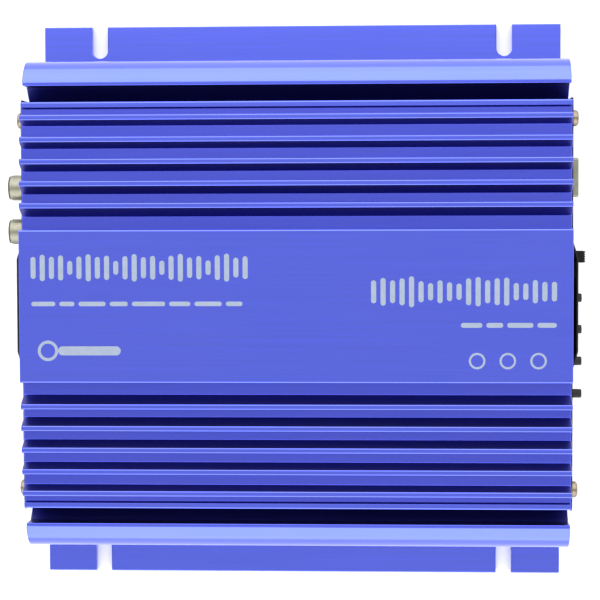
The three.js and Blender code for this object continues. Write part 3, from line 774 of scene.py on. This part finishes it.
harness_socket("speaker_socket", SPEAKER)
harness_socket("power_socket", POWER)


# ---------------------------------------------------------------- supply fuse
def blade_fuse():
    """A tinted moulded body with a thicker grip, round a fuse element between two blades."""
    low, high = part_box("blade_fuse")
    outer_x = low.x / MM
    y = centre("blade_fuse").y
    width = (high.y - low.y) / MM
    thick = (high.z - low.z) / MM
    head = 10.0
    grip = 2.6
    head_x = outer_x + head
    grip_outline = rectangle(y, SOCKET_Z, width, thick, 0.8)
    grip_solid = extruded([grip_outline], outer_x, outer_x + grip, chamfer=0.25)
    waist = rectangle(y, SOCKET_Z, width - 1.2, thick - 1.3, 0.6)
    waist_solid = extruded([waist], outer_x + grip - 0.3, head_x, chamfer=0.2)
    made = new_object("fuse_body", grip_solid)
    carve(made, waist_solid, "UNION")
    test_points = [rectangle(y + side * 5.2, SOCKET_Z, 2.6, 1.5, 0.3) for side in (-1, 1)]
    carve(made, together([extruded([point], outer_x - 1, outer_x + 1.2) for point in test_points]))
    break_edges(made, 0.1, 2)
    finish(made, "fuse", AMBER, ["blade_fuse"])

    blades = []
    tip_x = high.x / MM
    for side in (-1, 1):
        middle = y + side * (width / 2 - 3.2)
        half = [(outer_x + 1.4, 2.2, 0.3), (head_x, 2.2, 0), (head_x, 2.6, 0.1),
                (tip_x - 1.2, 2.6, 0.3), (tip_x, 1.5, 0.3)]
        outline = rounded([(x, middle - reach, radius) for x, reach, radius in half]
                          + [(x, middle + reach, radius) for x, reach, radius in reversed(half)])
        blades.append(extruded([outline], SOCKET_Z - 0.34, SOCKET_Z + 0.34, place_z, 0.08))
    span = [(outer_x + 5.0 + 1.6 * math.cos(math.pi * step / 12), y - 4.4 + 8.8 * step / 24)
            for step in range(25)]
    strip = [Vector((x - 0.25, v)) for x, v in span] + [Vector((x + 0.25, v)) for x, v in reversed(span)]
    blades.append(extruded([strip], SOCKET_Z - 0.15, SOCKET_Z + 0.15, place_z))
    finish(new_object("fuse_blades", together(blades)), "fuse", JACK_METAL)


blade_fuse()
softened("fuse_holder", "fuse_holder_moulded", 0.25, BLACK)


# ---------------------------------------------------------------- control end
def usb_port():
    """A folded sheet shell with sprung tabs, and a tongue that carries four contacts."""
    low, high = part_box("usb_shell")
    y = centre("usb_shell").y
    width = (high.y - low.y) / MM
    height = (high.z - low.z) / MM
    wall = 0.4
    back, tip = low.x / MM, high.x / MM
    outer = rectangle(y, CONTROL_Z, width, height, 0.7)
    inner = rectangle(y, CONTROL_Z, width - 2 * wall, height - 2 * wall, 0.4)
    small = [drawn_in(wound(outer, True), 0.28), drawn_in(wound(inner, False), 0.02)]
    lines = [wound(outer, True), wound(inner, False)]
    shell = lofted([(lines, back + 0.3), (lines, tip - 0.4),
                    ([drawn_in(lines[0], 0.08), lines[1]], tip - 0.14), (small, tip)], place_x)
    made = new_object("usb_shell_folded", shell)
    tab_y, tab_half_width = 3.2, 1.25
    tab_length, cut_width = 5.6, 0.35
    cuts = []
    for side in (-1, 1):
        for edge in (-1, 1):
            middle = y + side * tab_y + edge * tab_half_width
            line = rectangle((back + tip) / 2 - 0.2, middle, tab_length, cut_width, 0.1, 2)
            cuts.append(extruded([line], CONTROL_Z - height, CONTROL_Z + height, place_z))
    seam = rectangle(y, CONTROL_Z - height / 2, 0.12, 0.5)
    cuts.append(extruded([seam], back, tip + 1))
    carve(made, together(cuts))
    finish(made, "case", JACK_METAL, ["usb_shell"])
    closing = rectangle(y, CONTROL_Z, width - 0.2, height - 0.2, 0.5)
    closing_solid = extruded([closing], back, back + wall, chamfer=0.1)
    finish(new_object("usb_shell_back", closing_solid), "case", JACK_METAL)

    softened("usb_tongue", "usb_tongue_moulded", 0.2, WHITE)
    tongue_low, tongue_high = (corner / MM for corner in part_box("usb_tongue"))
    contacts = []
    for lane in (-3.5, -1.0, 1.0, 3.5):
        contact = rectangle(y + lane, tongue_low.z - 0.12, 1.0, 0.3, 0.08, 2)
        contacts.append(extruded([contact], tongue_low.x + 0.5, tongue_high.x - 1.0, chamfer=0.05))
    finish(new_object("usb_contacts", together(contacts)), "case", BRASS)


def slide_knob():
    """The switch's knob, ribbed on its end, with a grey collar where it passes the plate."""
    low, high = (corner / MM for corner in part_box("slide_switch_knob"))
    ribs = 5
    pitch = (high.y - low.y) / ribs
    depth = 0.55
    tip = []
    for rib in range(ribs):
        start = low.y + rib * pitch
        tip += [(high.x, start + 0.2, 0.1), (high.x, start + pitch - 0.2, 0.1)]
        if rib < ribs - 1:
            tip.append((high.x - depth, start + pitch, 0.08))
    outline = rounded([(low.x, high.y - 0.1, 0), (low.x, low.y + 0.1, 0), (high.x - 0.8, low.y, 0), *tip,
                       (high.x - 0.8, high.y, 0)], 3)
    made = new_object("slide_knob_ribbed", extruded([outline], low.z, high.z, place_z, 0.22))
    finish(made, "switch", BLACK, ["slide_switch_knob"])
    plate_x = PLATE_INNER_X + PLATE_THICK + BOSS_RISE
    spare = 0.3
    ring = rectangle((low.y + high.y) / 2, CONTROL_Z, high.y - low.y + spare, high.z - low.z + spare, 0.3)
    collar = extruded([ring], plate_x - 0.9, plate_x + 0.28, chamfer=0.08)
    finish(new_object("slide_knob_strip", collar), "switch", GREY)


def trim_controls():
    """Slotted shafts, and the moulded bodies that they turn in."""
    for number in range(1, 5):
        node = f"pot_shaft_{number}"
        low, high = (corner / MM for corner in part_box(node))
        length = high.x - low.x
        radius = (high.z - low.z) / 2
        profile = [(0, 0, 0), (radius, 0, 0.1), (radius, length, 0.3), (0, length, 0)]
        made = new_object(f"{node}_slotted", turned(rounded(profile), 40))
        carve(made, extruded([rectangle(0, 0, 4, 0.8)], length - 1.2, length + 1, place_z))
        break_edges(made, 0.06, 2, 40)
        middle = centre(node)
        place = facing((1, 0, 0), (low.x, middle.y, middle.z))
        finish(made, f"pot_{number}", GREY, [node], place)
        softened(f"pot_body_{number}", f"pot_body_{number}_moulded", 0.3, BLACK)


def indicator(node, lens):
    """A flanged lens with a domed tip."""
    low, high = (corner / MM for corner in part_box(node))
    middle = centre(node)
    length = high.x - low.x
    profile = [(0, 0, 0), (1.9, 0, 0.1), (1.9, 1, 0.1), (1.5, 1, 0.1),
               *[(r, h, 0) for r, h, _ in arc(0, length - 1.5, 1.5, 0, 88, 10)], (0, length, 0)]
    made = new_object(f"{node}_lens", turned(rounded(profile), 32))
    finish(made, "case", lens, [node], facing((1, 0, 0), (low.x, middle.y, middle.z)))


usb_port()
softened("slide_switch_body", "slide_switch_frame", 0.2, STEEL)
slide_knob()
trim_controls()
indicator("power_led", GREEN_LENS)
indicator("protect_led", RED_LENS)


# ---------------------------------------------------------------- inside the case
def inner_pieces():
    softened("main_board", "main_board_etched", 0.1, BOARD)
    softened("control_board", "control_board_etched", 0.1, BOARD)
    softened("toroid_transformer", "toroid_winding", 3.0, COPPER, 6)
    for number in (1, 2):
        softened(f"reservoir_capacitor_{number}", f"capacitor_can_{number}", 0.9, BLACK, 4)
        softened(f"clamp_bar_{number}", f"clamp_bar_{number}_pressed", 0.25, STEEL)
    for number in range(1, 5):
        device = f"output_device_{number}"
        softened(device, f"{device}_moulded", 0.4, BLACK, 3)
        softened(f"board_standoff_{number}", f"standoff_{number}_turned", 0.25, BRASS)


inner_pieces()


# ---------------------------------------------------------------- the panel's print
def capsule(x, y, width, height):
    return rectangle(x, y, width, height, min(width, height) / 2 - 0.01, 6)


def level_bars(first_x, y, count, pitch, width, tallest, ripple):
    """A row of upright bars of unequal height, centred on one line, as on a level display."""
    bars = []
    for index in range(count):
        swing = 0.5 + 0.5 * math.sin(index * ripple) * math.cos(index * 0.61 + 0.4)
        bars.append(capsule(first_x + index * pitch, y, width, tallest * (0.42 + 0.58 * swing)))
    return bars


def dashes(first_x, y, lengths, height, gap):
    """A row of rounded dashes that starts at first_x."""
    marks = []
    x = first_x
    for length in lengths:
        marks.append(capsule(x + length / 2, y, length, height))
        x += length + gap
    return marks


def ring_mark(x, y, radius, stroke):
    return [circle(x, y, radius), circle(x, y, radius - stroke)]


def panel_print():
    """Plain bars, dashes and rings in pale ink. They spell nothing."""
    filled = level_bars(-86.3, 12.8, count=24, pitch=3.05, width=1.7, tallest=10.2, ripple=1.9)
    filled += dashes(-87.0, 0.9, [8, 5, 9, 6, 11, 7, 9, 5.5], 1.5, 1.35)
    filled += dashes(-78.2, -14.6, [20.8], 3.0, 1)
    filled += level_bars(26.0, 4.8, count=20, pitch=3.1, width=1.7, tallest=10.6, ripple=1.3)
    filled += dashes(54.5, -6.2, [7, 5.5, 8.5, 6.3], 1.6, 1.3)
    marks = [extruded([line], PANEL_Z - 0.01, PANEL_Z + PRINT_THICK, place_z) for line in filled]
    rings = [ring_mark(-81.6, -14.6, 3.4, 1.0)]
    rings += [ring_mark(x, -17.9, 2.7, 0.7) for x in (59.8, 69.8, 79.8)]
    marks += [extruded(lines, PANEL_Z - 0.01, PANEL_Z + PRINT_THICK, place_z) for lines in rings]
    finish(new_object("panel_print", together(marks)), "case", INK)


panel_print()


# ---------------------------------------------------------------- floor, light and camera
def pale_floor():
    made = new_object("floor", extruded([rectangle(0, 0, 6000, 6000)], -20, 0, place_z))
    paper = Finish("floor_paper", (0.75, 0.75, 0.76), 0.0, 0.9)
    paper.vary_color(paper.noise(300, 2), (0.73, 0.73, 0.74))
    made.data.materials.append(paper.material)


def softbox(name, place, width, height, radiance):
    """An area light that faces the middle of the object. radiance is how bright its face looks."""
    light = bpy.data.lights.new(name, "AREA")
    light.shape = "RECTANGLE"
    light.size, light.size_y = width, height
    light.energy = radiance * math.pi * width * height
    lamp = bpy.data.objects.new(name, light)
    bpy.context.collection.objects.link(lamp)
    aim = Vector((0, 0, 0.03)) - Vector(place)
    lamp.matrix_world = Matrix.Translation(place) @ aim.to_track_quat("-Z", "Y").to_matrix().to_4x4()


def light_tent():
    """White tent walls on the two long sides of the object, and a dim strip over it along X.

    How far a direction leans along Y, away from the strip, sets how bright it is."""
    strip_lean = -0.085
    brightness = {"From Min": 0.15, "From Max": 0.42, "To Min": 1.0, "To Max": 3.35}
    world = bpy.data.worlds.new("studio")
    world.use_nodes = True
    tree = world.node_tree
    direction = tree.nodes.new("ShaderNodeTexCoord").outputs["Generated"]
    split = tree.nodes.new("ShaderNodeSeparateXYZ")
    from_strip = tree.nodes.new("ShaderNodeMath")
    from_strip.operation = "ADD"
    from_strip.inputs[1].default_value = -strip_lean
    sideways = tree.nodes.new("ShaderNodeMath")
    sideways.operation = "ABSOLUTE"
    strength = tree.nodes.new("ShaderNodeMapRange")
    strength.interpolation_type = "SMOOTHSTEP"
    for name, number in brightness.items():
        strength.inputs[name].default_value = number
    background = tree.nodes["Background"]
    background.inputs["Color"].default_value = (1, 1, 1, 1)
    tree.links.new(direction, split.inputs["Vector"])
    tree.links.new(split.outputs["Y"], from_strip.inputs[0])
    tree.links.new(from_strip.outputs["Value"], sideways.inputs[0])
    tree.links.new(sideways.outputs["Value"], strength.inputs["Value"])
    tree.links.new(strength.outputs["Result"], background.inputs["Strength"])
    bpy.context.scene.world = world


def studio():
    light_tent()
    softbox("softbox_far", (0.1, 1.15, 0.9), 2.4, 0.8, 0.2)
    bpy.context.scene.view_settings.view_transform = "Standard"


def camera():
    """Almost straight down on the top, a little right of and behind the middle."""
    lens = bpy.data.cameras.new("camera")
    lens.lens = 105.13
    lens.shift_x = -0.03
    lens.clip_start = 0.01
    stand = bpy.data.objects.new("camera", lens)
    bpy.context.collection.objects.link(stand)
    place = Vector((32.899, 26.370, 623.327)) * MM
    tilt, lean, roll = 0.0422, -0.0438, 0.0027
    turn = Matrix.Rotation(-lean, 4, "Y") @ Matrix.Rotation(-tilt, 4, "X") @ Matrix.Rotation(-roll, 4, "Z")
    stand.matrix_world = Matrix.Translation(place) @ turn
    bpy.context.scene.camera = stand


pale_floor()
studio()
camera()
